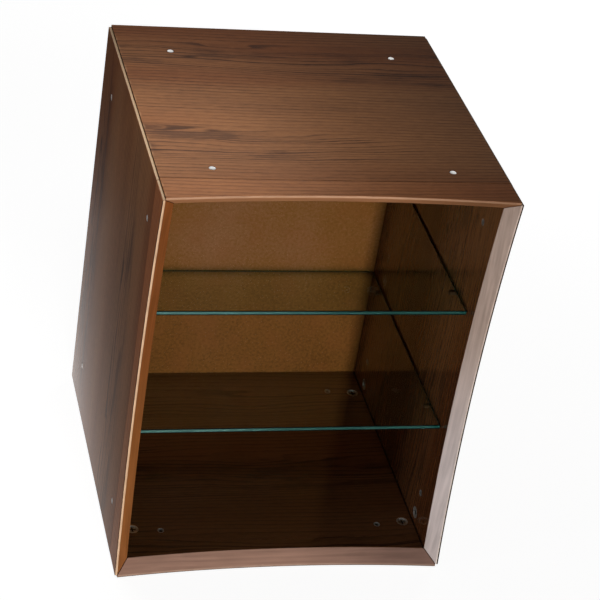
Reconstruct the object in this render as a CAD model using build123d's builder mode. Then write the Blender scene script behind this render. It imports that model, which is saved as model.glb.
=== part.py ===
from build123d import *
import math
import os

# An open-fronted storage cube in veneered board, with mitred corners, a hollowed front and glass shelves.
# Millimetres. The origin is on the floor under the middle of the cube, +Z is up and the open front faces -Y.

# Carcass
width = 400.0
depth = 400.0
height = 520.0
board = 16.0
notch = 3.0

# Front: every front edge bows back on one radius, with a narrow flat outside and a bevel inside
front_radius = 2000.0
lipping_depth = 42.0

# Back panel, held in grooves round all four boards
back_thickness = 8.0
back_inset = 19.0
groove_depth = 7.0
groove_play = 0.1
back_end_play = 0.5

# Glass shelves, which share the height in equal compartments
glass = 6.0
shelf_count = 2
shelf_front_inset = 49.0
shelf_play = 1.0
glass_arris = 0.4

# Lugs that the shelves lie on
pin_inset = 45.0
pin_hole = 5.0
pin_hole_depth = 10.0
pin_shank_play = 0.05
pin_end_play = 0.8
lug_radius = 3.2
lug_length = 9.0
lug_rise = 2.0
lug_round = 0.8

# Sleeved holes for bolting cubes together
link_inset = 64.0
link_hole = 8.0
sleeve_play = 0.04
sleeve_bore = 6.4
cap_thickness = 1.8
cap_spigot = 6.2
cap_spigot_length = 4.0
cap_round = 1.0

# Cam connectors that draw the mitres together
cam_inset = 30.0
cam_row_inset = 68.0
cam_bore = 15.0
cam_bore_depth = 12.5
cam_play = 0.08
cam_sink = 0.2
cam_floor_gap = 0.1
cam_turn = 200.0
cam_room = 10.0
cam_room_shift = 0.5
cam_room_height = 7.2
cam_slot_height = 5.0
cam_slot_margin = 33.0
cam_dish = 11.2
cam_dish_depth = 0.8
cam_cross_length = 8.6
cam_cross_width = 1.8
cam_cross_depth = 2.4

# Hinged bolts that run between the two cams of a mitre
bolt_hole = 8.0
bolt_shaft = 7.0
bolt_shaft_start = 3.6
bolt_shaft_gap = 0.3
bolt_neck = 4.0
bolt_head = 6.4
bolt_head_length = 2.5
eye_radius = 3.2
eye_tongue = 1.6
eye_gap = 0.1
eye_width = 4.6
hinge_pin = 2.2
hinge_pin_play = 0.05

# Dowels across the mitres
dowel = 6.0
dowel_length = 14.0
dowel_play = 0.05
dowel_end_play = 0.5
dowel_rows = (-90.0, 0.0, 90.0)

# How far a cutter runs past the piece that it cuts
overcut = 2.0

# Values worked out from the sizes above
half_width = width / 2
half_depth = depth / 2
inner_half = half_width - board
ceiling = height - board
bevel = board - notch
joint_y = lipping_depth - half_depth
back_face_y = half_depth - back_inset
link_y = half_depth - link_inset
cam_y = half_depth - cam_row_inset
mid_board = board / 2
mitre_mid = (board + notch) / 2
cam_reach = cam_inset - mid_board
slot_radius = cam_bore / 2 + overcut
neck_start = cam_reach - cam_bore / 2 - bolt_shaft_gap
head_start = cam_reach - bolt_head_length
fork_cheek = (eye_width - eye_tongue) / 2 - eye_gap
fork_offset = (eye_tongue + fork_cheek) / 2 + eye_gap

top_chord = math.sqrt(front_radius**2 - half_width**2)
side_chord = math.sqrt(front_radius**2 - (height / 2) ** 2)
top_slope = half_width / top_chord
side_slope = height / 2 / side_chord
corner_rise = math.sqrt(front_radius**2 - (half_width - notch) ** 2) - top_chord
front_y = -half_depth - corner_rise
top_bow = front_radius - top_chord
side_bow = front_radius - side_chord
clear_front = front_y - lipping_depth

compartment = (ceiling - board - shelf_count * glass) / (shelf_count + 1)
shelf_width = 2 * (inner_half - shelf_play)
shelf_front_y = shelf_front_inset - half_depth
shelf_back_y = back_face_y - shelf_play
shelf_bottoms = {
    "lower": board + compartment,
    "upper": board + 2 * compartment + glass,
}
pin_rows = (shelf_front_y + pin_inset, shelf_back_y - pin_inset)

# Inner face of each board: the normal points into the cube, local X runs along the board, local Y runs back
faces = {
    "top": Plane(origin=(0, 0, ceiling), x_dir=(-1, 0, 0), z_dir=(0, 0, -1)),
    "bottom": Plane(origin=(0, 0, board), x_dir=(1, 0, 0), z_dir=(0, 0, 1)),
    "left": Plane(origin=(-inner_half, 0, height / 2), x_dir=(0, 0, -1), z_dir=(1, 0, 0)),
    "right": Plane(origin=(inner_half, 0, height / 2), x_dir=(0, 0, 1), z_dir=(-1, 0, 0)),
}
lengths = {"top": width, "bottom": width, "left": height, "right": height}
corners = {
    "top_left": (-1, 1),
    "top_right": (1, 1),
    "bottom_left": (-1, -1),
    "bottom_right": (1, -1),
}
rows = {"front": -cam_y, "back": cam_y}

os.makedirs("parts", exist_ok=True)


def save(piece, name):
    piece.label = name
    export_step(piece, f"parts/{name}.step")


def section(side):
    """Corner points of a board's mitred and notched cross-section, seen from the front."""
    near = [
        (half_width - notch, height),
        (half_width - notch, height - notch),
        (inner_half, ceiling),
    ]
    across = [
        (half_width, height - notch),
        (half_width - notch, height - notch),
        (inner_half, ceiling),
    ]
    if side in ("top", "bottom"):
        points = near + [(-x, z) for x, z in reversed(near)]
        return points if side == "top" else [(x, height - z) for x, z in points]
    points = across + [(x, height - z) for x, z in reversed(across)]
    return points if side == "right" else [(-x, z) for x, z in points]


def at_height(z):
    """Height above the floor of a level counted up or down from the middle: z is +1 or -1."""
    return height / 2 + z * height / 2


def pin_seats(face, bottom):
    """Centres of the two pins on one side board under a shelf, on that board's inner face."""
    up = face.x_dir.Z
    return [(up * (bottom - lug_rise - height / 2), y) for y in pin_rows]


def slanted(direction, reach):
    """Unit direction and length of a slanted extrusion that covers a given reach inwards."""
    vector = Vector(direction)
    return vector.normalized(), vector.length * reach


# Boards with their grooves, holes and bores
for side, face in faces.items():
    half_length = lengths[side] / 2
    with BuildPart() as panel:
        with BuildSketch(Plane.XZ.offset(-half_depth)):
            with BuildLine():
                Polyline(*section(side), close=True)
            make_face()
        extrude(amount=half_depth - joint_y)
        with BuildSketch(face):
            with Locations((0, back_face_y + back_thickness / 2)):
                Rectangle(lengths[side], back_thickness + 2 * groove_play)
        extrude(amount=-groove_depth, mode=Mode.SUBTRACT)
        with BuildSketch(face):
            with GridLocations(2 * (half_length - link_inset), 2 * link_y, 2, 2):
                Circle(link_hole / 2)
        extrude(amount=-board, mode=Mode.SUBTRACT)
        with BuildSketch(face):
            with GridLocations(2 * (half_length - cam_inset), 2 * cam_y, 2, 2):
                Circle(cam_bore / 2)
        extrude(amount=-cam_bore_depth, mode=Mode.SUBTRACT)
        for end in (-1, 1):
            mouth = Plane(
                origin=face.from_local_coords(Vector(end * (half_length + overcut), 0, -mid_board)),
                x_dir=(0, 1, 0),
                z_dir=face.x_dir * end,
            )
            with BuildSketch(mouth):
                with Locations((-cam_y, 0), (cam_y, 0)):
                    Circle(bolt_hole / 2)
            extrude(amount=-(overcut + cam_inset), mode=Mode.SUBTRACT)
        for corner, (sx, sz) in corners.items():
            if side not in corner:
                continue
            outward = Vector(sx, 0, -sz) if side in ("top", "bottom") else Vector(-sx, 0, sz)
            for y in dowel_rows:
                spot = (sx * (half_width - mitre_mid), y, at_height(sz) - sz * mitre_mid)
                with Locations(Plane(origin=spot, z_dir=outward)):
                    Hole(radius=dowel / 2 + dowel_play, depth=dowel_length / 2 + dowel_end_play)
        if side in ("left", "right"):
            with BuildSketch(face):
                for bottom in shelf_bottoms.values():
                    with Locations(*pin_seats(face, bottom)):
                        Circle(pin_hole / 2)
            extrude(amount=-pin_hole_depth, mode=Mode.SUBTRACT)
    save(panel.part, f"{side}_panel")

# Solid lippings along the front edges, bowed back and bevelled
for side, face in faces.items():
    level = side in ("top", "bottom")
    bow = top_bow if level else side_bow
    half_length = lengths[side] / 2
    cross_slope = side_slope if level else top_slope
    outside = face.offset(-board)
    with BuildPart() as lipping:
        with BuildSketch(Plane.XZ.offset(-joint_y)):
            with BuildLine():
                Polyline(*section(side), close=True)
            make_face()
        extrude(amount=joint_y - front_y)
        inward = face.z_dir
        for start, drop, lean in ((0, notch, cross_slope), (notch, bevel + overcut, 1 + cross_slope)):
            shift = start * cross_slope
            flat = Plane(
                origin=outside.origin + inward * start + Vector(0, shift, 0),
                x_dir=face.x_dir,
                z_dir=face.x_dir.cross(Vector(0, 1, 0)),
            )
            with BuildSketch(flat):
                with BuildLine():
                    ThreePointArc(
                        (-half_length, front_y),
                        (0, front_y + bow),
                        (half_length, front_y),
                    )
                    Polyline(
                        (half_length, front_y),
                        (half_length, clear_front),
                        (-half_length, clear_front),
                        (-half_length, front_y),
                    )
                make_face()
            way, reach = slanted(inward + Vector(0, lean, 0), drop)
            extrude(amount=reach, dir=way, mode=Mode.SUBTRACT)
    save(lipping.part, f"{side}_lipping")

# Back panel
with BuildPart() as back_panel:
    with BuildSketch(Plane.XZ.offset(-back_face_y - back_thickness)):
        with Locations((0, height / 2)):
            tongue = 2 * (groove_depth - back_end_play)
            Rectangle(2 * inner_half + tongue, ceiling - board + tongue)
    extrude(amount=back_thickness)
save(back_panel.part, "back_panel")

# Glass shelves with softened edges
for name, bottom in shelf_bottoms.items():
    with BuildPart() as shelf:
        with BuildSketch(Plane.XY.offset(bottom)):
            with Locations((0, (shelf_front_y + shelf_back_y) / 2)):
                Rectangle(shelf_width, shelf_back_y - shelf_front_y)
        extrude(amount=glass)
        chamfer(shelf.edges(), length=glass_arris)
    save(shelf.part, f"{name}_shelf")

# Shelf pins: a round shank in the board and a flat-topped lug under the glass
for name, bottom in shelf_bottoms.items():
    with BuildPart() as pins:
        for side in ("left", "right"):
            face = faces[side]
            up = face.x_dir.Z
            with BuildSketch(face):
                with Locations(*pin_seats(face, bottom)):
                    Circle(lug_radius)
                    with Locations((up * (lug_rise + lug_radius), 0)):
                        Rectangle(2 * lug_radius, 2 * lug_radius, mode=Mode.SUBTRACT)
            extrude(amount=lug_length)
            with BuildSketch(face):
                with Locations(*pin_seats(face, bottom)):
                    Circle(pin_hole / 2 - pin_shank_play)
            extrude(amount=-(pin_hole_depth - pin_end_play))
        tips = pins.faces().filter_by(Axis.X).filter_by(
            lambda tip: math.isclose(abs(tip.center().X), inner_half - lug_length)
        )
        chamfer(tips.edges().filter_by(GeomType.CIRCLE), length=lug_round)
    save(pins.part, f"{name}_shelf_pins")

# Link sleeves, and caps that close their outer ends; the sleeves under the cube stay open
for side, face in faces.items():
    capped = side != "bottom"
    spread = (2 * (lengths[side] / 2 - link_inset), 2 * link_y, 2, 2)
    with BuildPart() as sleeves:
        with BuildSketch(face):
            with GridLocations(*spread):
                Circle(link_hole / 2 - sleeve_play)
                Circle(sleeve_bore / 2, mode=Mode.SUBTRACT)
        extrude(amount=-(board - cap_thickness if capped else board))
    save(sleeves.part, f"link_sleeves_{side}")
    if not capped:
        continue
    with BuildPart() as caps:
        with BuildSketch(face.offset(-board)):
            with GridLocations(*spread):
                Circle(link_hole / 2 - sleeve_play)
        extrude(amount=cap_thickness)
        with BuildSketch(face.offset(cap_thickness - board)):
            with GridLocations(*spread):
                Circle(cap_spigot / 2)
        extrude(amount=cap_spigot_length)
        rims = caps.edges().filter_by(GeomType.CIRCLE)
        outer = [rim for rim in rims if math.isclose(face.to_local_coords(rim.center()).Z, -board)]
        fillet(outer, radius=cap_round)
    save(caps.part, f"link_caps_{side}")

# Cams: local Z comes out of the bore, and local X points along the bolt when the cam is locked
for row, y in rows.items():
    for corner, (sx, sz) in corners.items():
        level, upright = corner.split("_")
        seats = {
            f"cam_{level}_{upright}_{row}": Plane(
                origin=(sx * (half_width - cam_inset), y, at_height(sz) - sz * board),
                x_dir=(sx, 0, 0),
                z_dir=(0, 0, -sz),
            ),
            f"cam_{upright}_{level}_{row}": Plane(
                origin=(sx * inner_half, y, at_height(sz) - sz * cam_inset),
                x_dir=(0, 0, sz),
                z_dir=(-sx, 0, 0),
            ),
        }
        for name, seat in seats.items():
            bolt_level = seat.offset(-mid_board)
            closed = 360 - cam_turn
            wedge = (cam_slot_margin, closed / 2, closed - cam_slot_margin)
            with BuildPart() as cam:
                with BuildSketch(seat.offset(cam_floor_gap - cam_bore_depth)):
                    Circle(cam_bore / 2 - cam_play)
                extrude(amount=cam_bore_depth - cam_floor_gap - cam_sink)
                with BuildSketch(bolt_level):
                    with PolarLocations(cam_room_shift, 1, start_angle=-cam_turn):
                        Circle(cam_room / 2)
                extrude(amount=cam_room_height / 2, both=True, mode=Mode.SUBTRACT)
                with BuildSketch(bolt_level):
                    Circle(slot_radius)
                    with BuildLine():
                        rim = [Vector(2 * slot_radius, 0).rotate(Axis.Z, angle) for angle in wedge]
                        Polyline((0, 0), *rim, close=True)
                    make_face(mode=Mode.SUBTRACT)
                extrude(amount=cam_slot_height / 2, both=True, mode=Mode.SUBTRACT)
                with BuildSketch(bolt_level):
                    with PolarLocations(cam_bore / 2, 1, start_angle=-cam_turn):
                        Rectangle(cam_bore, cam_room_height)
                extrude(amount=cam_room_height / 2, both=True, mode=Mode.SUBTRACT)
                with BuildSketch(seat.offset(-cam_sink)):
                    Circle(cam_dish / 2)
                extrude(amount=-cam_dish_depth, mode=Mode.SUBTRACT)
                with BuildSketch(seat.offset(-cam_sink - cam_dish_depth)):
                    with PolarLocations(0, 2, angular_range=180):
                        Rectangle(cam_cross_length, cam_cross_width)
                extrude(amount=-cam_cross_depth, mode=Mode.SUBTRACT)
            save(cam.part, name)

# Hinged bolts: at each mitre a forked arm and a tongued arm meet on a pin
for corner, (sx, sz) in corners.items():
    with BuildPart() as bolts:
        for y in rows.values():
            knuckle = Vector(sx * (half_width - mid_board), y, at_height(sz) - sz * mid_board)
            forked = (Vector(-sx, 0, 0), (-fork_offset, fork_offset), fork_cheek)
            tongued = (Vector(0, 0, -sz), (0,), eye_tongue)
            for along, offsets, thickness in (forked, tongued):
                side_plane = Plane(origin=knuckle, x_dir=along, z_dir=(0, 1, 0))
                for offset in offsets:
                    with BuildSketch(side_plane.offset(offset)):
                        Circle(eye_radius)
                        with Locations((bolt_shaft_start / 2, 0)):
                            Rectangle(bolt_shaft_start, 2 * eye_radius)
                        Circle(hinge_pin / 2 + hinge_pin_play, mode=Mode.SUBTRACT)
                    extrude(amount=thickness / 2, both=True)
                stations = (
                    (bolt_shaft, bolt_shaft_start, neck_start),
                    (bolt_neck, neck_start, head_start),
                    (bolt_head, head_start, cam_reach),
                )
                for size, start, end in stations:
                    with BuildSketch(Plane(origin=knuckle + along * start, z_dir=along)):
                        Circle(size / 2)
                    extrude(amount=end - start)
            with BuildSketch(Plane(origin=knuckle, z_dir=(0, 1, 0))):
                Circle(hinge_pin / 2)
            extrude(amount=eye_width / 2, both=True)
    save(bolts.part, f"mitre_bolts_{corner}")

# Dowels, square to the mitre faces
for corner, (sx, sz) in corners.items():
    with BuildPart() as dowels:
        for y in dowel_rows:
            spot = (sx * (half_width - mitre_mid), y, at_height(sz) - sz * mitre_mid)
            with BuildSketch(Plane(origin=spot, z_dir=(sx, 0, -sz))):
                Circle(dowel / 2)
            extrude(amount=dowel_length / 2, both=True)
    save(dowels.part, f"mitre_dowels_{corner}")
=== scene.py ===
import math

import bmesh
import bpy
from bpy.props import FloatProperty, FloatVectorProperty, PointerProperty
from mathutils import Matrix, Vector


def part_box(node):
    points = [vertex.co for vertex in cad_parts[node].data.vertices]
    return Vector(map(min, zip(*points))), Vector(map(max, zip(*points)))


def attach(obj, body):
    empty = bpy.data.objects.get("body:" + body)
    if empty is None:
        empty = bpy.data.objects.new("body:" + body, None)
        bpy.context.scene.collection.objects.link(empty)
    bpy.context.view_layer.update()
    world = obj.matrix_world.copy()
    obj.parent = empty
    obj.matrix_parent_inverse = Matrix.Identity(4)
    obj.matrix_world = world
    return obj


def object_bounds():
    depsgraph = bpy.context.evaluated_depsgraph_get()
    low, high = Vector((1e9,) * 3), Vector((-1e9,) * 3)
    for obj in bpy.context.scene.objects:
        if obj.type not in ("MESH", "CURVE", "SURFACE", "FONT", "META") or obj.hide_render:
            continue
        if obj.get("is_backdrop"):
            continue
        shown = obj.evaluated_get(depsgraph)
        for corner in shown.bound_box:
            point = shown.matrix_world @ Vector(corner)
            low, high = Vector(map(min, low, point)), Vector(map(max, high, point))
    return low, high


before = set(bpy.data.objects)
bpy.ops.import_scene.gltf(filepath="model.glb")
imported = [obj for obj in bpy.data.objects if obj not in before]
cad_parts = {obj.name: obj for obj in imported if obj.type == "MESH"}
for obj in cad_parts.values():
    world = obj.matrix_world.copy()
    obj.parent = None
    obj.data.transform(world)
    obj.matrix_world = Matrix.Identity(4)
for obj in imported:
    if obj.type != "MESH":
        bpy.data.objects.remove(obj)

bl_info = {
    "name": "Storage Cube Finishes",
    "version": (1, 0, 0),
    "blender": (4, 5, 0),
    "location": "3D View > Sidebar > Storage Cube",
    "description": "Dresses a storage cube with lacquered veneer, solid lippings, glass and metal fittings",
    "category": "Material",
}

CUBE_LOW, CUBE_HIGH = (Vector(corner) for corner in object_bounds())
CUBE_MIDDLE = (CUBE_LOW + CUBE_HIGH) / 2
CUBE_HALF = (CUBE_HIGH - CUBE_LOW) / 2
SHELVES = ("upper_shelf", "lower_shelf")

# Axes of the cube, by the way they run
ACROSS, BACK, UP = range(3)

TOP_LOW, TOP_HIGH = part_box("top_panel")
BOARD = TOP_HIGH[UP] - TOP_LOW[UP]

# For each board: the axis of its grain, the axis and sense of its outer face, and its place in the log
BOARDS = {
    "top": (ACROSS, UP, 1, (0.35, 0.03, 0.00)),
    "bottom": (ACROSS, UP, -1, (4.30, 1.20, 0.40)),
    "left": (UP, ACROSS, -1, (7.70, 2.90, 1.10)),
    "right": (UP, ACROSS, 1, (9.20, 3.60, 2.30)),
}

# For each axis of grain: from where to where a lipping takes its far colour, in metres from its middle; the
# change is painted light and shade
PAINTED_LIGHT_SPANS = {ACROSS: (0.0, 0.18), UP: (0.10, -0.14)}

# Edges that turn by more are sharp, faces that turn by less are one flat, and points this close are joined
SHARP_TURN = math.radians(30)
FLAT_TURN = math.radians(0.1)
LOOSE_GAP = 1e-6

# Depth over which the painted shade in bores and dishes comes in, and the skin by which the pins are drawn
# smaller
PAINTED_SHADE_FADE = 0.0008
PIN_SKIN = 0.00005

GLASS_IOR = 1.52

# For each lamp: its place, the point that it looks at, and its width, in metres
LAMPS = {
    "key": ((-0.22, -0.08, 0.84), (-0.14, -0.05, 0.52), 0.10),
    "side": ((-2.2, -0.8, 0.27), (0.0, -0.1, 0.26), 0.5),
    "front": ((0.3, -6.0, 0.20), (0.0, 0.0, 0.26), 0.38),
    "rear": ((1.5, 1.7, 0.45), (0.0, 0.0, 0.26), 0.8),
}

# The floor runs this far each way, a little below the cube
FLOOR_REACH = 6.0
FLOOR_DROP = 0.0003

# Strip of floor that the sides mirror: its width, its growth per metre backwards, and where that ends
STRIP_WIDTH = 0.025
STRIP_GROWTH = 4.0
STRIP_END = 0.6

# Way to a small bright window behind the cube, which glass and lacquer mirror
WINDOW_WAY = Vector((0.20, 0.82, 0.53)).normalized()


def colour(name, description, default):
    return FloatVectorProperty(
        name=name, description=description, default=default, size=3, min=0.0, max=1.0, subtype="COLOR"
    )


def length(name, description, default):
    return FloatProperty(
        name=name, description=description, default=default, min=0.0, subtype="DISTANCE", unit="LENGTH"
    )


def share(name, description, default):
    return FloatProperty(
        name=name, description=description, default=default, min=0.0, max=1.0, subtype="FACTOR"
    )


def amount(name, description, default):
    return FloatProperty(name=name, description=description, default=default, min=0.0)


def power(name, description, default):
    return FloatProperty(name=name, description=description, default=default, min=0.0, unit="POWER")


def angle(name, description, default):
    return FloatProperty(
        name=name, description=description, default=math.radians(default), subtype="ANGLE", unit="ROTATION"
    )


class VeneerFinish(bpy.types.PropertyGroup):
    """Lacquered veneer on the boards and on the outside of the lippings."""

    pale: colour("Pale wood", "Veneer between the growth lines", (0.300, 0.131, 0.052))
    middle: colour("Middle wood", "Main colour of the veneer", (0.212, 0.090, 0.037))
    dark: colour("Dark wood", "Darker bands of the veneer", (0.108, 0.048, 0.023))
    rosy: colour("Rosy wood", "Redder patches of the veneer", (0.222, 0.086, 0.046))
    line: colour("Growth line", "Thin dark lines, flames and knots", (0.030, 0.014, 0.009))
    worn: colour("Worn wood", "Rubbed places along the outer edges", (0.360, 0.195, 0.100))
    rub: length("Rubbed edge", "Width of the rubbed places", 0.003)
    ring: length("Ring spacing", "Distance between growth lines", 0.0070)
    pore: length("Pore length", "Length of the open pores along the grain", 0.006)
    arris: length("Arris", "Rounding of the sharp edges of the boards", 0.0004)
    roughness: share("Lacquer roughness", "Roughness of the lacquer", 0.36)
    gloss: share("Lacquer gloss", "Strength of the clear coat on the outside of the top and bottom", 0.08)
    side_gloss: share("Side gloss", "Strength of the clear coat on the outside of the sides", 0.24)
    inner_gloss: share("Inner gloss", "Strength of the clear coat on the inside", 1.0)
    # Painted light: the outside of the sides is painted brighter than the top and bottom.
    side_tone_and_painted_light: amount("Side tone", "Brightness of the sides outside, against the top and bottom", 1.18)
    # Painted shade: the veneer inside is painted darker than outside.
    inner_painted_shade: share("Inner shade", "Brightness of the veneer inside, against the outside", 0.85)


class LippingFinish(bpy.types.PropertyGroup):
    """Solid wood of the front edges, with painted light and shade on the bevels and flats."""

    # Bevels and flats are one solid wood, painted lighter, darker or greyer by the light on each side: the
    # right bevel and flat with a painted sheen, the flats pale wood with painted highlights.
    top: colour("Top bevel", "Wood of the top bevel", (0.385, 0.170, 0.078))
    # Far colours are painted light changing along each lipping: darker to the right on the top and bottom,
    # lighter to the low end on the left and right.
    top_far: colour("Top bevel, right end", "Wood of the top bevel at its right end", (0.195, 0.084, 0.037))
    bottom: colour("Bottom bevel", "Wood of the bottom bevel", (0.425, 0.244, 0.176))
    bottom_far: colour(
        "Bottom bevel, right end", "Wood of the bottom bevel at its right end", (0.235, 0.137, 0.105)
    )
    left: colour("Left bevel", "Wood of the left bevel", (0.275, 0.086, 0.023))
    left_far: colour("Left bevel, low end", "Wood of the left bevel at its low end", (0.340, 0.120, 0.034))
    right: colour("Right bevel", "Wood of the right bevel", (0.425, 0.315, 0.260))
    right_far: colour(
        "Right bevel, low end", "Wood of the right bevel at its low end", (0.600, 0.510, 0.485)
    )
    top_flat: colour("Top flat", "Narrow flat in front of the top bevel", (0.560, 0.312, 0.188))
    top_flat_far: colour("Top flat, right end", "Top flat at its right end", (0.290, 0.156, 0.090))
    bottom_flat: colour("Bottom flat", "Narrow flat in front of the bottom bevel", (0.440, 0.285, 0.210))
    bottom_flat_far: colour("Bottom flat, right end", "Bottom flat at its right end", (0.270, 0.175, 0.130))
    left_flat: colour("Left flat", "Narrow flat in front of the left bevel", (0.800, 0.520, 0.320))
    left_flat_far: colour("Left flat, low end", "Left flat at its low end", (0.800, 0.520, 0.320))
    right_flat: colour("Right flat", "Narrow flat in front of the right bevel", (0.600, 0.470, 0.395))
    right_flat_far: colour("Right flat, low end", "Right flat at its low end", (0.720, 0.620, 0.550))
    bare: colour("Bare edge", "Ledges along the outer corners", (0.430, 0.295, 0.175))
    # This colour also stands as painted shade on the end faces of the top and bottom boards, beside the
    # ledges.
    stain: colour("Stained edge", "Dark ends beside the ledges, and inside joints", (0.030, 0.015, 0.009))
    # The lippings' own brightness outside, which multiplies the sides' painted light.
    level_tone: amount("Level tone", "Brightness of the top and bottom lippings outside", 1.22)
    side_tone_and_painted_light: amount("Side tone", "Brightness of the side lippings outside", 1.70)
    arris: length("Arris", "Rounding of the sharp edges of the lippings", 0.0008)
    joint: length("Joint", "Width of the dark joint in the inside corners, on each board", 0.0012)
    seam: length("Seam", "Width of the dark mitre lines in front", 0.0008)
    # A dark line of each width below runs along the outer edge of that side's front.
    top_skin: length("Top skin", "Width of the top veneer's dark edge in front", 0.0)
    bottom_skin: length("Bottom skin", "Width of the bottom veneer's dark edge in front", 0.0010)
    left_skin: length("Left skin", "Width of the left veneer's dark edge in front", 0.0006)
    right_skin: length("Right skin", "Width of the right veneer's dark edge in front", 0.0018)


class BackFinish(bpy.types.PropertyGroup):
    """Stained back panel."""

    stain: colour("Stain", "Main colour of the back panel", (0.215, 0.078, 0.018))
    fibre: colour("Fibre", "Darker flecks of the back panel", (0.100, 0.034, 0.007))
    # Pale end of the stain: it shows in random pale places and, towards the top, as painted light.
    painted_light_fade: colour("Faded stain", "Paler stain, mostly near the top", (0.300, 0.124, 0.066))
    warm: colour("Warm patches", "Redder patches of the back panel", (0.235, 0.070, 0.020))
    roughness: share("Roughness", "Roughness of the back panel", 0.55)


class GlassFinish(bpy.types.PropertyGroup):
    """Float glass of the shelves."""

    tint: colour("Tint", "Colour that the glass keeps over its depth", (0.20, 0.80, 0.68))
    density: amount("Density", "How fast the glass takes its tint, per metre", 35.0)
    shade: colour("Shade", "Light that passes the glass to what is behind it", (0.80, 0.86, 0.83))
    # Painted light and shade on the ground edges: the front pale at the left and dark to the right, the back
    # edge and ends dark.
    edge: colour("Edge", "Pale end of the ground front edge", (0.065, 0.145, 0.130))
    deep: colour("Deep edge", "Dark end of the ground front edge", (0.002, 0.045, 0.037))
    dark: colour("Dark edge", "Ground back edge and ends", (0.002, 0.014, 0.012))
    skin: length("Skin", "Clear depth in front of the ground edges", 0.0002)
    rise: length("Rise", "Clear depth above and below the ground edges", 0.0013)
    band: length("Band", "Thickness of the ground front and back edges", 0.0008)
    end: length("End", "Thickness of the ground ends", 0.0009)


class FittingFinish(bpy.types.PropertyGroup):
    """Caps, sleeves, cams, bolts, dowels and pins."""

    nickel: colour("Nickel", "Bright plate of the caps and sleeves", (0.93, 0.92, 0.90))
    zinc: colour("Zinc", "Die-cast cams", (0.80, 0.82, 0.80))
    # Painted shade: near black inside the sleeve bores and cam dishes.
    bore_painted_shade: colour("Bore", "Tarnish in the sleeves and cam dishes", (0.012, 0.010, 0.009))
    steel: colour("Steel", "Bolts inside the mitres", (0.48, 0.48, 0.49))
    beech: colour("Beech", "Dowels inside the mitres", (0.58, 0.40, 0.23))
    plastic: colour("Plastic", "Shelf pins", (0.034, 0.017, 0.008))


class StageSetup(bpy.types.PropertyGroup):
    """Floor, lamps and camera."""

    floor: colour("Floor", "Colour of the floor", (0.86, 0.86, 0.86))
    key: power("Key lamp", "Soft lamp above the left half of the top", 1.42)
    side: power("Side lamp", "Large soft lamp on the left", 8.0)
    front: power("Front lamp", "Low soft lamp far in front", 270.0)
    rear: power("Rear lamp", "Large soft lamp behind on the right", 14.0)
    room: amount("Room light", "Even light from all round", 0.04)
    strip: colour("Strip", "Bright strip of floor that the sides mirror", (1.0, 0.92, 0.89))
    strip_glow: amount("Strip glow", "Brightness of that strip beside the middle of the cube", 1.75)
    camera: FloatVectorProperty(
        name="Camera",
        description="Place of the camera",
        default=(-0.608, -1.960, 1.577),
        size=3,
        subtype="TRANSLATION",
        unit="LENGTH",
    )
    dip: angle("Dip", "How far the camera looks down", 32.6)
    turn: angle("Turn", "How far the camera looks to the right", 18.06)
    roll: angle("Roll", "How far the camera leans", 10.03)
    lens: FloatProperty(
        name="Lens", description="Focal length in millimetres", default=121.0, min=1.0, unit="CAMERA"
    )


class CubeSettings(bpy.types.PropertyGroup):
    """All sizes and colours of the finishes."""

    veneer: PointerProperty(type=VeneerFinish)
    lipping: PointerProperty(type=LippingFinish)
    back: PointerProperty(type=BackFinish)
    glass: PointerProperty(type=GlassFinish)
    fitting: PointerProperty(type=FittingFinish)
    stage: PointerProperty(type=StageSetup)


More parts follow.
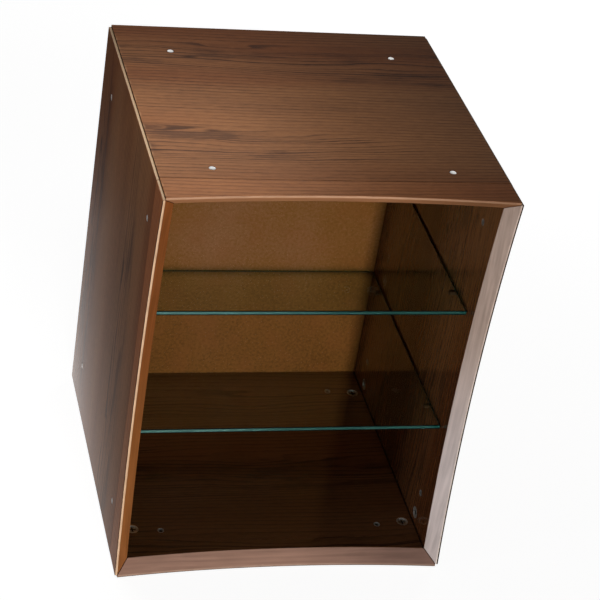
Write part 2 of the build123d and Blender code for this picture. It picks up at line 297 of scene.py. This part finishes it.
class NodeMaker:
    """Adds nodes to a tree by short calls, whose inputs are constants or the sockets that feed them."""

    def __init__(self, tree):
        self.tree = tree
        tree.nodes.clear()

    def feed(self, socket, value):
        if isinstance(value, bpy.types.NodeSocket):
            self.tree.links.new(value, socket)
        elif socket.type == "RGBA":
            socket.default_value = (*value[:3], 1.0)
        else:
            socket.default_value = value

    def add(self, kind, inputs=None, **settings):
        node = self.tree.nodes.new(kind)
        for key, value in settings.items():
            setattr(node, key, value)
        for key, value in (inputs or {}).items():
            self.feed(node.inputs[key], value)
        return node

    def math(self, operation, first, second=0.0, third=0.0):
        return self.add("ShaderNodeMath", {0: first, 1: second, 2: third}, operation=operation).outputs[0]

    def vector(self, operation, first, second=(0.0, 0.0, 0.0)):
        return self.add("ShaderNodeVectorMath", {0: first, 1: second}, operation=operation)

    def place(self):
        """Place on the piece in metres, in the cube's own frame."""
        return self.add("ShaderNodeTexCoord").outputs["Object"]

    def parts(self, vector):
        return self.add("ShaderNodeSeparateXYZ", {0: vector}).outputs

    def noise(self, vector, scale, detail=2.0, roughness=0.5):
        """Noise from 0 to 1, with a scale for each axis in cells per metre."""
        cells = self.vector("MULTIPLY", vector, scale).outputs[0]
        inputs = {"Vector": cells, "Scale": 1.0, "Detail": detail, "Roughness": roughness}
        return self.add("ShaderNodeTexNoise", inputs).outputs["Fac"]

    def vary(self, base, noise, weight):
        """A value that a noise from 0 to 1 moves up and down."""
        return self.math("MULTIPLY_ADD", self.math("SUBTRACT", noise, 0.5), weight, base)

    def step(self, value, low, high, to_low=0.0, to_high=1.0):
        """A smooth step of a value from one level to another."""
        inputs = {"Value": value, "From Min": low, "From Max": high, "To Min": to_low, "To Max": to_high}
        return self.add("ShaderNodeMapRange", inputs, interpolation_type="SMOOTHSTEP").outputs["Result"]

    def ramp(self, value, stops):
        """A colour ramp through (position, colour) stops."""
        node = self.add("ShaderNodeValToRGB", {"Fac": value})
        elements = node.color_ramp.elements
        while len(elements) < len(stops):
            elements.new(1.0)
        for element, (position, shade) in zip(elements, stops):
            element.position = position
            element.color = (*shade, 1.0)
        return node.outputs["Color"]

    def blend(self, factor, first, second, kind="MIX"):
        """Mixes two colours."""
        inputs = {0: factor, 6: first, 7: second}
        return self.add("ShaderNodeMix", inputs, data_type="RGBA", blend_type=kind).outputs[2]

    def bump(self, height, strength, distance):
        inputs = {"Height": height, "Strength": strength, "Distance": distance}
        return self.add("ShaderNodeBump", inputs).outputs[0]

    def seen(self):
        """1 where a thing is seen straight or through glass, and 1 where it is seen in a mirror."""
        path = self.add("ShaderNodeLightPath").outputs
        first = self.math("LESS_THAN", path["Diffuse Depth"], 0.5)
        plain = self.math("MAXIMUM", path["Is Camera Ray"], path["Is Transmission Ray"])
        return self.math("MULTIPLY", plain, first), self.math("MULTIPLY", path["Is Glossy Ray"], first)


class Finish(NodeMaker):
    """One material."""

    def __init__(self, name):
        self.material = bpy.data.materials.new(name)
        self.material.use_nodes = True
        super().__init__(self.material.node_tree)
        self.output = self.add("ShaderNodeOutputMaterial")

    def principled(self, **inputs):
        """The material's own surface, with sockets named in words joined by underscores."""
        named = {key.replace("_", " ").title().replace("Ior", "IOR"): value for key, value in inputs.items()}
        shader = self.add("ShaderNodeBsdfPrincipled", named)
        self.tree.links.new(shader.outputs[0], self.output.inputs["Surface"])
        return shader

    def wear(self, *names):
        """Puts the material on pieces of the cube."""
        for name in names:
            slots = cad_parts[name].material_slots
            slots[0].link = "OBJECT"
            slots[0].material = self.material


def pieces_called(start):
    """The cube's own pieces whose names start alike."""
    return [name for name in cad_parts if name.startswith(start)]


def toned(shade, factor):
    """A colour made darker or lighter."""
    return tuple(factor * part for part in shade)


def joined_surface():
    """Nodes that join a piece's loose faces and shade them smooth between sharp edges."""
    group = bpy.data.node_groups.get("joined_surface")
    if group:
        return group
    group = bpy.data.node_groups.new("joined_surface", "GeometryNodeTree")
    maker = NodeMaker(group)
    for way in ("INPUT", "OUTPUT"):
        group.interface.new_socket("Geometry", in_out=way, socket_type="NodeSocketGeometry")
    start = maker.add("NodeGroupInput").outputs[0]
    plain = maker.add("GeometryNodeRemoveAttribute", {"Geometry": start, "Name": "custom_normal"}).outputs[0]
    joined = maker.add("GeometryNodeMergeByDistance", {"Geometry": plain, "Distance": LOOSE_GAP}).outputs[0]
    smooth = maker.add("GeometryNodeSetShadeSmooth", {"Geometry": joined, "Shade Smooth": True}).outputs[0]
    bend = maker.add("GeometryNodeInputMeshEdgeAngle").outputs["Unsigned Angle"]
    sharp = maker.math("GREATER_THAN", bend, SHARP_TURN)
    inputs = {"Geometry": smooth, "Selection": sharp, "Shade Smooth": False}
    parted = maker.add("GeometryNodeSetShadeSmooth", inputs, domain="EDGE").outputs[0]
    maker.add("NodeGroupOutput", {0: parted})
    return group


def soften(names, width):
    """Rounds the sharp edges of pieces a little, so that they catch the light."""
    for name in names:
        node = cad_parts[name]
        node.modifiers.new("joined", "NODES").node_group = joined_surface()
        flat = node.modifiers.new("flat", "DECIMATE")
        flat.decimate_type = "DISSOLVE"
        flat.angle_limit = FLAT_TURN
        arris = node.modifiers.new("arris", "BEVEL")
        arris.width = width
        arris.segments = 2
        arris.limit_method = "ANGLE"
        arris.angle_limit = SHARP_TURN
        arris.use_clamp_overlap = False
        arris.harden_normals = True


class BoardWood(Finish):
    """Lacquered veneer of a board, with its grain along the board."""

    def __init__(self, side, name):
        super().__init__(name)
        settings = bpy.context.scene.storage_cube
        self.side, self.look, self.edges = side, settings.veneer, settings.lipping
        self.axis, self.outer, sense, shift = BOARDS[side]
        self.level = self.outer == UP
        self.spot = self.parts(self.place())
        turned = self.add(
            "ShaderNodeCombineXYZ", {0: self.spot[self.axis], 1: self.spot[BACK], 2: self.spot[self.outer]}
        )
        self.grain = self.vector("ADD", turned.outputs[0], shift).outputs[0]
        self.along = self.math("SUBTRACT", self.spot[self.axis], CUBE_MIDDLE[self.axis])
        self.reach = self.math("ABSOLUTE", self.along)
        self.normal = self.parts(self.add("ShaderNodeNewGeometry").outputs["True Normal"])
        outwards = self.math("MULTIPLY", self.normal[self.outer], sense)
        self.inside = self.step(outwards, -0.78, -0.92)
        self.outside = self.step(outwards, 0.7, 0.9)
        self.scuff = self.step(self.grained(60.0, 500.0), 0.35, 0.70, 0.0, 0.25)
        figure, depth = self.figure()
        self.lacquer(self.front(figure, self.faces(figure)), depth)

    def grained(self, along, across, **settings):
        """Noise with its own count of cells per metre along the grain and across it."""
        return self.noise(self.grain, (along, across, across), **settings)

    def growth(self, band):
        """Count of growth rings up to a place, bent most where the figured bands have eyes."""
        drift = self.grained(2.2, 5.0, detail=1.0)
        sway = self.grained(11.0, 45.0, detail=1.0)
        fray = self.grained(45.0, 180.0)
        eyes = self.math("MULTIPLY", self.grained(7.5, 34.0, detail=0.6), band)
        turns = self.math("MULTIPLY", self.parts(self.grain)[1], 1.0 / self.look.ring)
        for bend, rings in ((drift, 5.0), (sway, 0.45), (fray, 0.35), (eyes, 3.2)):
            turns = self.math("MULTIPLY_ADD", bend, rings, turns)
        return turns

    def late_lines(self, ring):
        """Thin dark lines at the end of the growth rings, fainter in places."""
        late = self.math("MULTIPLY", self.step(ring, 0.68, 0.93), self.step(ring, 1.0, 0.95))
        strong = self.grained(5.0, 60.0, detail=3.0, roughness=0.6)
        return self.math("MULTIPLY", late, self.step(strong, 0.32, 0.66, 0.12, 1.0))

    def flames(self, turns, band):
        """Wider dark lines, once in a few rings of the figured bands."""
        slow = self.math("FRACT", self.math("MULTIPLY", turns, 0.30))
        flame = self.step(self.math("ABSOLUTE", self.math("SUBTRACT", slow, 0.5)), 0.045, 0.015)
        return self.math("MULTIPLY", flame, self.step(band, 0.02, 0.40, 0.0, 0.75))

    def knots(self, band):
        """Small dark knots in the figured bands."""
        cells = self.vector("MULTIPLY", self.grain, (8.0, 26.0, 26.0)).outputs[0]
        inputs = {"Vector": cells, "Scale": 1.0, "Randomness": 1.0}
        spots = self.add("ShaderNodeTexVoronoi", inputs).outputs
        chosen = self.step(self.parts(spots["Color"])[0], 0.62, 0.66)
        knots = self.math("MULTIPLY", self.step(spots["Distance"], 0.13, 0.03), chosen)
        return self.math("MULTIPLY", knots, self.step(band, 0.05, 0.5))

    def paleness(self, ring, band, fibre):
        """How pale the wood is, from 0 to 1."""
        cloud = self.grained(3.0, 12.0)
        dashes = self.grained(85.0, 420.0, roughness=0.6)
        early = self.step(ring, 0.25, 1.0)
        smoke = self.math("MULTIPLY", self.step(self.grained(9.0, 42.0), 0.50, 0.70), band)
        pale = 0.62
        for noise, weight in ((cloud, 0.70), (fibre, 0.55), (dashes, 0.55)):
            pale = self.vary(pale, noise, weight)
        for shade, weight in ((early, -0.16), (band, -0.08), (smoke, -0.40)):
            pale = self.math("MULTIPLY_ADD", shade, weight, pale)
        return pale

    def figure(self):
        """Colour of the wood with its lines and knots, and the depth of its pores and fibres."""
        look = self.look
        band = self.step(self.grained(0.9, 9.0, detail=0.0), 0.58, 0.68)
        turns = self.growth(band)
        ring = self.math("FRACT", turns)
        lines = self.late_lines(ring)
        pores = self.step(self.grained(1.0 / look.pore, 1500.0, detail=1.0), 0.60, 0.72)
        fibre = self.grained(16.0, 700.0, detail=3.0, roughness=0.65)
        red = self.step(self.grained(1.6, 8.0, detail=1.0), 0.40, 0.65)
        marks = self.math("MULTIPLY", lines, self.math("MULTIPLY_ADD", band, 0.30, 0.52))
        marks = self.math("MULTIPLY_ADD", pores, 0.22, marks)
        marks = self.math("MAXIMUM", marks, self.flames(turns, band))
        marks = self.math("MAXIMUM", marks, self.math("MULTIPLY", self.knots(band), 0.9))
        marks = self.math("MINIMUM", marks, 0.95)
        stops = ((0.10, look.dark), (0.48, look.middle), (0.90, look.pale))
        wood = self.ramp(self.paleness(ring, band, fibre), stops)
        wood = self.blend(self.math("MULTIPLY", red, 0.5), wood, look.rosy, "SOFT_LIGHT")
        wood = self.blend(marks, wood, look.line)
        depth = self.math("MULTIPLY_ADD", lines, 0.4, self.math("ADD", pores, fibre))
        return wood, depth

    def faces(self, figure):
        """The wood with ledges, rubbed edges, painted shade inside, dark inside joints and painted light
        outside the sides.
        """
        look, edges, axis = self.look, self.edges, self.axis
        # Painted shade: on the top and bottom the end faces, the walls of the corner notches, are painted
        # dark.
        ledge = edges.stain if self.level else self.blend(self.scuff, edges.bare, figure)
        end = self.step(self.math("ABSOLUTE", self.normal[axis]), 0.90, 0.97)
        wood = self.blend(end, figure, ledge)

        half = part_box(f"{self.side}_panel")[1][axis] - CUBE_MIDDLE[axis]
        end_gap = self.math("SUBTRACT", half, self.reach)
        back_gap = self.math("SUBTRACT", CUBE_HIGH.y, self.spot[BACK])
        rub = self.step(self.math("MINIMUM", end_gap, back_gap), look.rub, 0.0)
        rub = self.math("MULTIPLY", rub, self.step(self.grained(60.0, 90.0), 0.45, 0.62, 0.0, 0.5))
        wood = self.blend(self.math("MULTIPLY", rub, self.outside), wood, look.worn)

        # Painted shade: the inside faces are painted darker.
        wood = self.blend(self.inside, wood, (look.inner_painted_shade,) * 3, "MULTIPLY")
        corner = CUBE_HALF[axis] - BOARD
        joint = self.step(self.reach, corner - 1.5 * edges.joint, corner - edges.joint)
        wood = self.blend(self.math("MULTIPLY", joint, self.inside), wood, edges.stain)
        # Painted light: the outside of the sides is painted brighter.
        return self.blend(self.outside, wood, (self.outer_tone_and_painted_light(),) * 3, "MULTIPLY")

    def outer_tone_and_painted_light(self):
        """Brightness of the outside, with painted light on the sides."""
        return 1.0 if self.level else self.look.side_tone_and_painted_light

    def front(self, figure, wood):
        """The front of a board is hidden by its lipping."""
        return wood

    def lacquer(self, wood, depth):
        """Clear lacquer over the wood."""
        look = self.look
        gloss = look.gloss if self.level else look.side_gloss
        self.principled(
            base_color=wood,
            roughness=self.math("MULTIPLY_ADD", depth, 0.10, look.roughness - 0.06),
            specular_ior_level=0.0,
            coat_weight=self.math("MULTIPLY_ADD", self.inside, look.inner_gloss - gloss, gloss),
            coat_roughness=0.10,
            normal=self.bump(depth, strength=0.25, distance=0.00012),
        )


class LippingWood(BoardWood):
    """Wood of the lipping along the front of a board, with a bevel and a narrow flat."""

    def outer_tone_and_painted_light(self):
        edges = self.edges
        return super().outer_tone_and_painted_light() * (edges.level_tone if self.level else edges.side_tone_and_painted_light)

    def front(self, figure, wood):
        """The bevel and the flat in their painted light, and the dark lines in front."""
        facing = self.normal[BACK]
        # Painted light: each side's bevel is painted in its own light and sheen.
        wood = self.blend(self.step(facing, -0.35, -0.55), wood, self.bevel())
        # Flats: pale solid wood, painted brighter or darker by the light on each side.
        flat = self.blend(self.scuff, self.painted_light_fade(f"{self.side}_flat"), figure)
        wood = self.blend(self.step(facing, -0.78, -0.90), wood, flat)
        dark = self.math("MULTIPLY", self.dark_lines(), self.step(facing, -0.25, -0.40))
        return self.blend(dark, wood, self.edges.stain)

    def painted_light_fade(self, name):
        """A colour that changes along the lipping to that of its far end, as painted light and shade."""
        far = self.step(self.along, *PAINTED_LIGHT_SPANS[self.axis])
        return self.blend(far, getattr(self.edges, name), getattr(self.edges, f"{name}_far"))

    def bevel(self):
        """Streaked solid wood in the painted light of its side."""
        streak = self.grained(7.0, 260.0, detail=3.0, roughness=0.6)
        shade = self.vary(streak, self.grained(24.0, 60.0), 0.5)
        streaks = self.ramp(shade, ((0.25, (0.78,) * 3), (0.75, (1.15,) * 3)))
        return self.blend(1.0, self.painted_light_fade(self.side), streaks, "MULTIPLY")

    def dark_lines(self):
        """The mitre lines, and a dark line along the outer edge of the front, of a width given for each side.
        """
        edges, outer = self.edges, self.outer
        off_middle = self.math("ABSOLUTE", self.math("SUBTRACT", self.spot[outer], CUBE_MIDDLE[outer]))
        from_outside = self.math("SUBTRACT", CUBE_HALF[outer], off_middle)
        from_end = self.math("SUBTRACT", CUBE_HALF[self.axis], self.reach)
        off_mitre = self.math("ABSOLUTE", self.math("SUBTRACT", from_end, from_outside))
        lines = self.step(off_mitre, 1.2 * edges.seam, 0.6 * edges.seam)
        skin = getattr(edges, f"{self.side}_skin")
        if skin > 0.0:
            lines = self.math("MAXIMUM", lines, self.step(from_outside, 1.2 * skin, 0.8 * skin))
        return lines


class CUBE_OT_boards(bpy.types.Operator):
    """Puts lacquered veneer on the four boards"""

    bl_idname = "storage_cube.boards"
    bl_label = "Boards"

    def execute(self, context):
        for side in BOARDS:
            BoardWood(side, f"{side}_veneer").wear(f"{side}_panel")
        soften([f"{side}_panel" for side in BOARDS], context.scene.storage_cube.veneer.arris)
        return {"FINISHED"}


class CUBE_OT_lippings(bpy.types.Operator):
    """Puts solid wood on the bevelled front edges"""

    bl_idname = "storage_cube.lippings"
    bl_label = "Lippings"

    def execute(self, context):
        for side in BOARDS:
            LippingWood(side, f"{side}_lipping_wood").wear(f"{side}_lipping")
        soften([f"{side}_lipping" for side in BOARDS], context.scene.storage_cube.lipping.arris)
        return {"FINISHED"}


class CUBE_OT_back_panel(bpy.types.Operator):
    """Stains the back panel"""

    bl_idname = "storage_cube.back_panel"
    bl_label = "Back panel"

    def execute(self, context):
        look = context.scene.storage_cube.back
        finish = Finish("back_stain")
        place = finish.place()
        fleck = finish.noise(place, (260.0,) * 3, detail=4.0, roughness=0.75)
        cloud = finish.noise(place, (9.0, 9.0, 5.0))
        # Painted light: the stain is painted paler towards the top.
        painted_light_above = finish.step(finish.parts(place)[UP], 0.13, 0.23)
        tone = finish.math("MULTIPLY_ADD", painted_light_above, 0.20, finish.vary(fleck, cloud, 0.5))
        patch = finish.step(finish.noise(place, (30.0,) * 3), 0.40, 0.70, 0.0, 0.3)
        stops = ((0.34, look.fibre), (0.64, look.stain), (0.95, look.painted_light_fade))
        finish.principled(
            base_color=finish.blend(patch, finish.ramp(tone, stops), look.warm),
            roughness=finish.math("MULTIPLY_ADD", fleck, 0.15, look.roughness - 0.08),
            specular_ior_level=0.2,
            normal=finish.bump(fleck, strength=0.15, distance=0.0002),
        )
        finish.wear("back_panel")
        return {"FINISHED"}


class CUBE_OT_shelves(bpy.types.Operator):
    """Makes the shelves of tinted float glass with ground edges in painted light and shade"""

    bl_idname = "storage_cube.shelves"
    bl_label = "Glass shelves"

    def execute(self, context):
        look = context.scene.storage_cube.glass
        self.glaze(look)
        edge = self.ground_edge_painted_light(look)
        for name in SHELVES:
            self.edge_band(name, look, edge)
        return {"FINISHED"}

    def glaze(self, look):
        """Clear glass that takes its tint with depth, and lets light through to what is behind it."""
        finish = Finish("float_glass")
        ripple = finish.noise(finish.place(), (18.0,) * 3, detail=1.0)
        glass = finish.principled(
            base_color=(1.0, 1.0, 1.0),
            roughness=finish.math("MULTIPLY", ripple, 0.02),
            ior=GLASS_IOR,
            transmission_weight=1.0,
        )
        lit = finish.add("ShaderNodeBsdfTransparent", {"Color": look.shade})
        shadow = finish.add("ShaderNodeLightPath").outputs["Is Shadow Ray"]
        mix = finish.add("ShaderNodeMixShader", {0: shadow, 1: glass.outputs[0], 2: lit.outputs[0]})
        finish.feed(finish.output.inputs["Surface"], mix.outputs[0])
        depth = finish.add("ShaderNodeVolumeAbsorption", {"Color": look.tint, "Density": look.density})
        finish.feed(finish.output.inputs["Volume"], depth.outputs[0])
        finish.wear(*SHELVES)

    def ground_edge_painted_light(self, look):
        """Ground glass, which runs from pale to dark along the front as painted light and is painted dark as
        shade elsewhere.
        """
        finish = Finish("ground_glass_edge")
        place = finish.place()
        spot = finish.parts(place)
        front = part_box(SHELVES[0])[0][BACK] + look.skin + look.band
        grit = finish.noise(place, (500.0,) * 3)
        wave = finish.noise(place, (14.0,) * 3, detail=1.0)
        # Painted light: pale at the left of the front, dark to the right.
        tone = finish.vary(finish.step(spot[ACROSS], 0.12, -0.20), wave, 0.5)
        tone = finish.vary(tone, grit, 0.2)
        shade = finish.ramp(tone, ((0.05, look.deep), (0.95, look.edge)))
        # Painted shade: the back edge and the ends are painted dark.
        hidden = finish.math("GREATER_THAN", spot[BACK], front)
        finish.principled(
            base_color=finish.blend(hidden, shade, look.dark),
            roughness=finish.math("MULTIPLY_ADD", grit, 0.2, 0.25),
            specular_ior_level=0.2,
        )
        return finish

    def edge_band(self, name, look, finish):
        """A thin band just inside the four edges of a shelf, which carries their painted light and shade."""
        low, high = (Vector(corner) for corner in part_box(name))
        loops = []
        mesh = bmesh.new()
        for end, band in ((0.0, 0.0), (look.end, look.band)):
            left, right = low.x + look.skin + end, high.x - look.skin - end
            front, back = low.y + look.skin + band, high.y - look.skin - band
            for level in (low.z + look.rise, high.z - look.rise):
                outline = ((left, front), (right, front), (right, back), (left, back))
                loops.append([mesh.verts.new((x, y, level)) for x, y in outline])
        outer_low, outer_high, inner_low, inner_high = loops
        for first, second in (
            (outer_low, outer_high),
            (outer_high, inner_high),
            (inner_high, inner_low),
            (inner_low, outer_low),
        ):
            for here in range(4):
                there = (here + 1) % 4
                mesh.faces.new((first[here], first[there], second[there], second[here]))
        data = bpy.data.meshes.new(f"{name}_ground_edge")
        mesh.to_mesh(data)
        mesh.free()
        data.materials.append(finish.material)
        band = bpy.data.objects.new(f"{name}_ground_edge", data)
        bpy.context.collection.objects.link(band)
        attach(band, name)


class CUBE_OT_shelf_pins(bpy.types.Operator):
    """Makes the pins under the shelves of dark plastic"""

    bl_idname = "storage_cube.shelf_pins"
    bl_label = "Shelf pins"

    def execute(self, context):
        shade = context.scene.storage_cube.fitting.plastic
        finish = Finish("pin_plastic")
        flow = finish.noise(finish.place(), (700.0,) * 3)
        finish.principled(
            base_color=finish.ramp(flow, ((0.30, toned(shade, 0.7)), (0.70, toned(shade, 1.3)))),
            roughness=finish.math("MULTIPLY_ADD", flow, 0.15, 0.38),
            specular_ior_level=0.12,
            normal=finish.bump(flow, strength=0.1, distance=0.00005),
        )
        pins = [f"{name}_pins" for name in SHELVES]
        finish.wear(*pins)
        for name in pins:
            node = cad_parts[name]
            node.modifiers.new("joined", "NODES").node_group = joined_surface()
            skin = node.modifiers.new("skin", "DISPLACE")
            skin.mid_level = 0.0
            skin.strength = -PIN_SKIN
        return {"FINISHED"}


def sunk(finish):
    """Depth of a place below the inner face of the board that it lies in."""
    place = finish.parts(finish.place())
    depths = []
    for axis in (ACROSS, UP):
        away = finish.math("ABSOLUTE", finish.math("SUBTRACT", place[axis], CUBE_MIDDLE[axis]))
        depths.append(finish.math("SUBTRACT", away, CUBE_HALF[axis] - BOARD))
    return finish.math("MAXIMUM", *depths)


def metal_finish(name, shade, roughness, scratch, polish=1.0, painted_shade_depths=None):
    """Plated metal with fine scratches, painted dark as shade between two depths below the inner face."""
    finish = Finish(name)
    place = finish.place()
    grain = finish.noise(place, (1800.0,) * 3)
    cloud = finish.noise(place, (260.0,) * 3)
    plate = finish.ramp(cloud, ((0.30, toned(shade, 0.72)), (0.62, shade)))
    # Painted shade between the two depths.
    if painted_shade_depths:
        start, stop = painted_shade_depths
        depth = sunk(finish)
        begun = finish.step(depth, start, start + PAINTED_SHADE_FADE)
        painted_shade_mask = finish.math("MULTIPLY", begun, finish.step(depth, stop, stop - PAINTED_SHADE_FADE))
        plate = finish.blend(painted_shade_mask, plate, bpy.context.scene.storage_cube.fitting.bore_painted_shade)
    finish.principled(
        base_color=plate,
        metallic=polish,
        roughness=finish.math("MULTIPLY_ADD", grain, 0.18, roughness),
        normal=finish.bump(grain, strength=scratch, distance=0.00005),
    )
    return finish


class CUBE_OT_link_fittings(bpy.types.Operator):
    """Plates the sleeves and caps of the link holes"""

    bl_idname = "storage_cube.link_fittings"
    bl_label = "Link fittings"

    def execute(self, context):
        shade = context.scene.storage_cube.fitting.nickel
        caps = metal_finish("bright_nickel", shade, roughness=0.36, scratch=0.03)
        caps.wear(*pieces_called("link_caps_"))
        # Painted shade inside the sleeves, between a bright rim at each end.
        sleeves = metal_finish(
            "sleeve_nickel", shade, roughness=0.22, scratch=0.05, polish=0.5, painted_shade_depths=(0.0024, BOARD - 0.0006)
        )
        sleeves.wear(*pieces_called("link_sleeves_"))
        return {"FINISHED"}


class CUBE_OT_cams(bpy.types.Operator):
    """Gives the cams their plated zinc"""

    bl_idname = "storage_cube.cams"
    bl_label = "Cams"

    def execute(self, context):
        shade = context.scene.storage_cube.fitting.zinc
        # Painted shade in the dishes and recesses of the cams.
        zinc = metal_finish(
            "plated_zinc", shade, roughness=0.18, scratch=0.2, polish=0.6, painted_shade_depths=(0.0007, BOARD)
        )
        zinc.wear(*pieces_called("cam_"))
        return {"FINISHED"}


class CUBE_OT_mitre_fasteners(bpy.types.Operator):
    """Finishes the bolts and dowels inside the mitres"""

    bl_idname = "storage_cube.mitre_fasteners"
    bl_label = "Bolts and dowels"

    def execute(self, context):
        look = context.scene.storage_cube.fitting
        steel = metal_finish("bolt_steel", look.steel, roughness=0.25, scratch=0.3)
        steel.wear(*pieces_called("mitre_bolts_"))
        finish = Finish("turned_beech")
        fleck = finish.noise(finish.place(), (900.0,) * 3)
        finish.principled(
            base_color=finish.ramp(fleck, ((0.35, toned(look.beech, 0.7)), (0.6, look.beech))),
            roughness=finish.math("MULTIPLY_ADD", fleck, 0.2, 0.5),
        )
        finish.wear(*pieces_called("mitre_dowels_"))
        return {"FINISHED"}


def soft_lamp(name, place, aim, width, energy):
    """A square soft lamp that looks at a point and isn't seen by the camera or in mirrors."""
    lamp = bpy.data.lights.new(name, "AREA")
    lamp.shape = "SQUARE"
    lamp.size = width
    lamp.energy = energy
    holder = bpy.data.objects.new(name, lamp)
    holder.location = place
    holder.rotation_euler = (Vector(aim) - Vector(place)).to_track_quat("-Z", "Y").to_euler()
    holder.visible_camera = False
    holder.visible_glossy = False
    bpy.context.collection.objects.link(holder)


class CUBE_OT_stage(bpy.types.Operator):
    """Sets the floor, the lamps and the camera"""

    bl_idname = "storage_cube.stage"
    bl_label = "Stage"

    def execute(self, context):
        scene = context.scene
        look = scene.storage_cube.stage
        scene.view_settings.view_transform = "Standard"
        self.make_floor(look)
        self.light_room(scene, look)
        for name, (place, aim, width) in LAMPS.items():
            soft_lamp(f"{name}_lamp", place, aim, width, getattr(look, name))
        self.place_camera(scene, look)
        return {"FINISHED"}

    def make_floor(self, look):
        """A square floor under the cube."""
        level = CUBE_LOW.z - FLOOR_DROP
        ways = ((-1, -1), (1, -1), (1, 1), (-1, 1))
        corners = [(x * FLOOR_REACH, y * FLOOR_REACH, level) for x, y in ways]
        mesh = bpy.data.meshes.new("floor")
        mesh.from_pydata(corners, [], [(0, 1, 2, 3)])
        mesh.materials.append(self.floor_finish(look).material)
        floor = bpy.data.objects.new("floor", mesh)
        bpy.context.collection.objects.link(floor)
        floor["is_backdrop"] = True

    def floor_finish(self, look):
        """Floor that is white to the eye, dark under the cube, and bright where the sides mirror it."""
        finish = Finish("pale_floor")
        spot = finish.parts(finish.place())
        back = spot[BACK]
        beside = finish.math("ABSOLUTE", spot[ACROSS])
        away = finish.math("MAXIMUM", beside, finish.math("ABSOLUTE", back))
        plain, mirror = finish.seen()
        white = finish.step(away, 0.8, 2.5, 0.94, 1.0)
        white = finish.math("MULTIPLY", white, finish.step(away, 0.145, 0.170))
        strip = finish.math("MULTIPLY", self.bright_strip(finish, look, beside, back), mirror)
        shade = finish.blend(finish.math("MAXIMUM", plain, mirror), look.floor, (0.25, 0.25, 0.25))
        paint = finish.add("ShaderNodeBsdfDiffuse", {"Color": shade})
        tint = finish.blend(mirror, (1.0, 1.0, 1.0), look.strip)
        strength = finish.math("MULTIPLY_ADD", plain, white, strip)
        glow = finish.add("ShaderNodeEmission", {"Color": tint, "Strength": strength})
        both = finish.add("ShaderNodeAddShader", {0: paint.outputs[0], 1: glow.outputs[0]})
        finish.feed(finish.output.inputs["Surface"], both.outputs[0])
        return finish

    def bright_strip(self, finish, look, beside, back):
        """Strength of the strip of floor along each side, which grows backwards and fades sideways."""
        gap = finish.math("MAXIMUM", finish.math("SUBTRACT", beside, CUBE_HIGH.x), 0.0)
        rise = finish.math("MULTIPLY", finish.math("MINIMUM", back, STRIP_END), STRIP_GROWTH)
        strip = finish.math("EXPONENT", finish.math("MULTIPLY_ADD", gap, -1.0 / STRIP_WIDTH, rise))
        strip = finish.math("MULTIPLY", strip, finish.step(beside, 0.15, 0.205, 0.0, look.strip_glow))
        return finish.math("MULTIPLY", strip, finish.step(back, -0.40, -0.25, 0.1, 1.0))

    def light_room(self, scene, look):
        """A room that is white to the eye, with a sky and a window for mirrors."""
        room = bpy.data.worlds.new("white_room")
        room.use_nodes = True
        maker = NodeMaker(room.node_tree)
        plain, mirror = maker.seen()
        way = maker.add("ShaderNodeTexCoord").outputs["Generated"]
        sky = maker.step(maker.parts(way)[UP], 0.40, 0.70, 1.0, 0.3)
        sky = maker.math("MULTIPLY", sky, maker.step(maker.parts(way)[BACK], -0.6, 0.1, 0.3, 1.0))
        near = maker.vector("DOT_PRODUCT", way, WINDOW_WAY).outputs["Value"]
        sky = maker.math("ADD", sky, maker.step(near, 0.994, 0.9995, 0.0, 3.0))
        strength = maker.math("MAXIMUM", plain, maker.math("MULTIPLY", sky, mirror))
        strength = maker.math("MAXIMUM", strength, look.room)
        light = maker.add("ShaderNodeBackground", {"Color": (1.0, 1.0, 1.0), "Strength": strength})
        maker.add("ShaderNodeOutputWorld", {"Surface": light.outputs[0]})
        scene.world = room

    def place_camera(self, scene, look):
        """A camera that is turned about the upright, then tipped down, then leant."""
        lens = bpy.data.cameras.new("camera")
        lens.lens = look.lens
        holder = bpy.data.objects.new("camera", lens)
        turn = Matrix.Rotation(-look.turn, 4, "Z")
        dip = Matrix.Rotation(math.pi / 2 - look.dip, 4, "X")
        roll = Matrix.Rotation(look.roll, 4, "Z")
        holder.matrix_world = Matrix.Translation(look.camera) @ turn @ dip @ roll
        bpy.context.collection.objects.link(holder)
        scene.camera = holder


OPERATORS = (
    CUBE_OT_boards,
    CUBE_OT_lippings,
    CUBE_OT_back_panel,
    CUBE_OT_shelves,
    CUBE_OT_shelf_pins,
    CUBE_OT_link_fittings,
    CUBE_OT_cams,
    CUBE_OT_mitre_fasteners,
    CUBE_OT_stage,
)


class CUBE_PT_finishes(bpy.types.Panel):
    """Lists the steps that dress the cube"""

    bl_idname = "CUBE_PT_finishes"
    bl_label = "Storage Cube"
    bl_space_type = "VIEW_3D"
    bl_region_type = "UI"
    bl_category = "Storage Cube"

    def draw(self, context):
        for operator in OPERATORS:
            self.layout.operator(operator.bl_idname)


CLASSES = (
    VeneerFinish,
    LippingFinish,
    BackFinish,
    GlassFinish,
    FittingFinish,
    StageSetup,
    CubeSettings,
    *OPERATORS,
    CUBE_PT_finishes,
)


def register():
    for cls in CLASSES:
        bpy.utils.register_class(cls)
    bpy.types.Scene.storage_cube = PointerProperty(type=CubeSettings)


def unregister():
    del bpy.types.Scene.storage_cube
    for cls in reversed(CLASSES):
        bpy.utils.unregister_class(cls)


def main():
    register()
    bpy.ops.storage_cube.boards()
    bpy.ops.storage_cube.lippings()
    bpy.ops.storage_cube.back_panel()
    bpy.ops.storage_cube.shelves()
    bpy.ops.storage_cube.shelf_pins()
    bpy.ops.storage_cube.link_fittings()
    bpy.ops.storage_cube.cams()
    bpy.ops.storage_cube.mitre_fasteners()
    bpy.ops.storage_cube.stage()


if __name__ == "__main__":
    main()
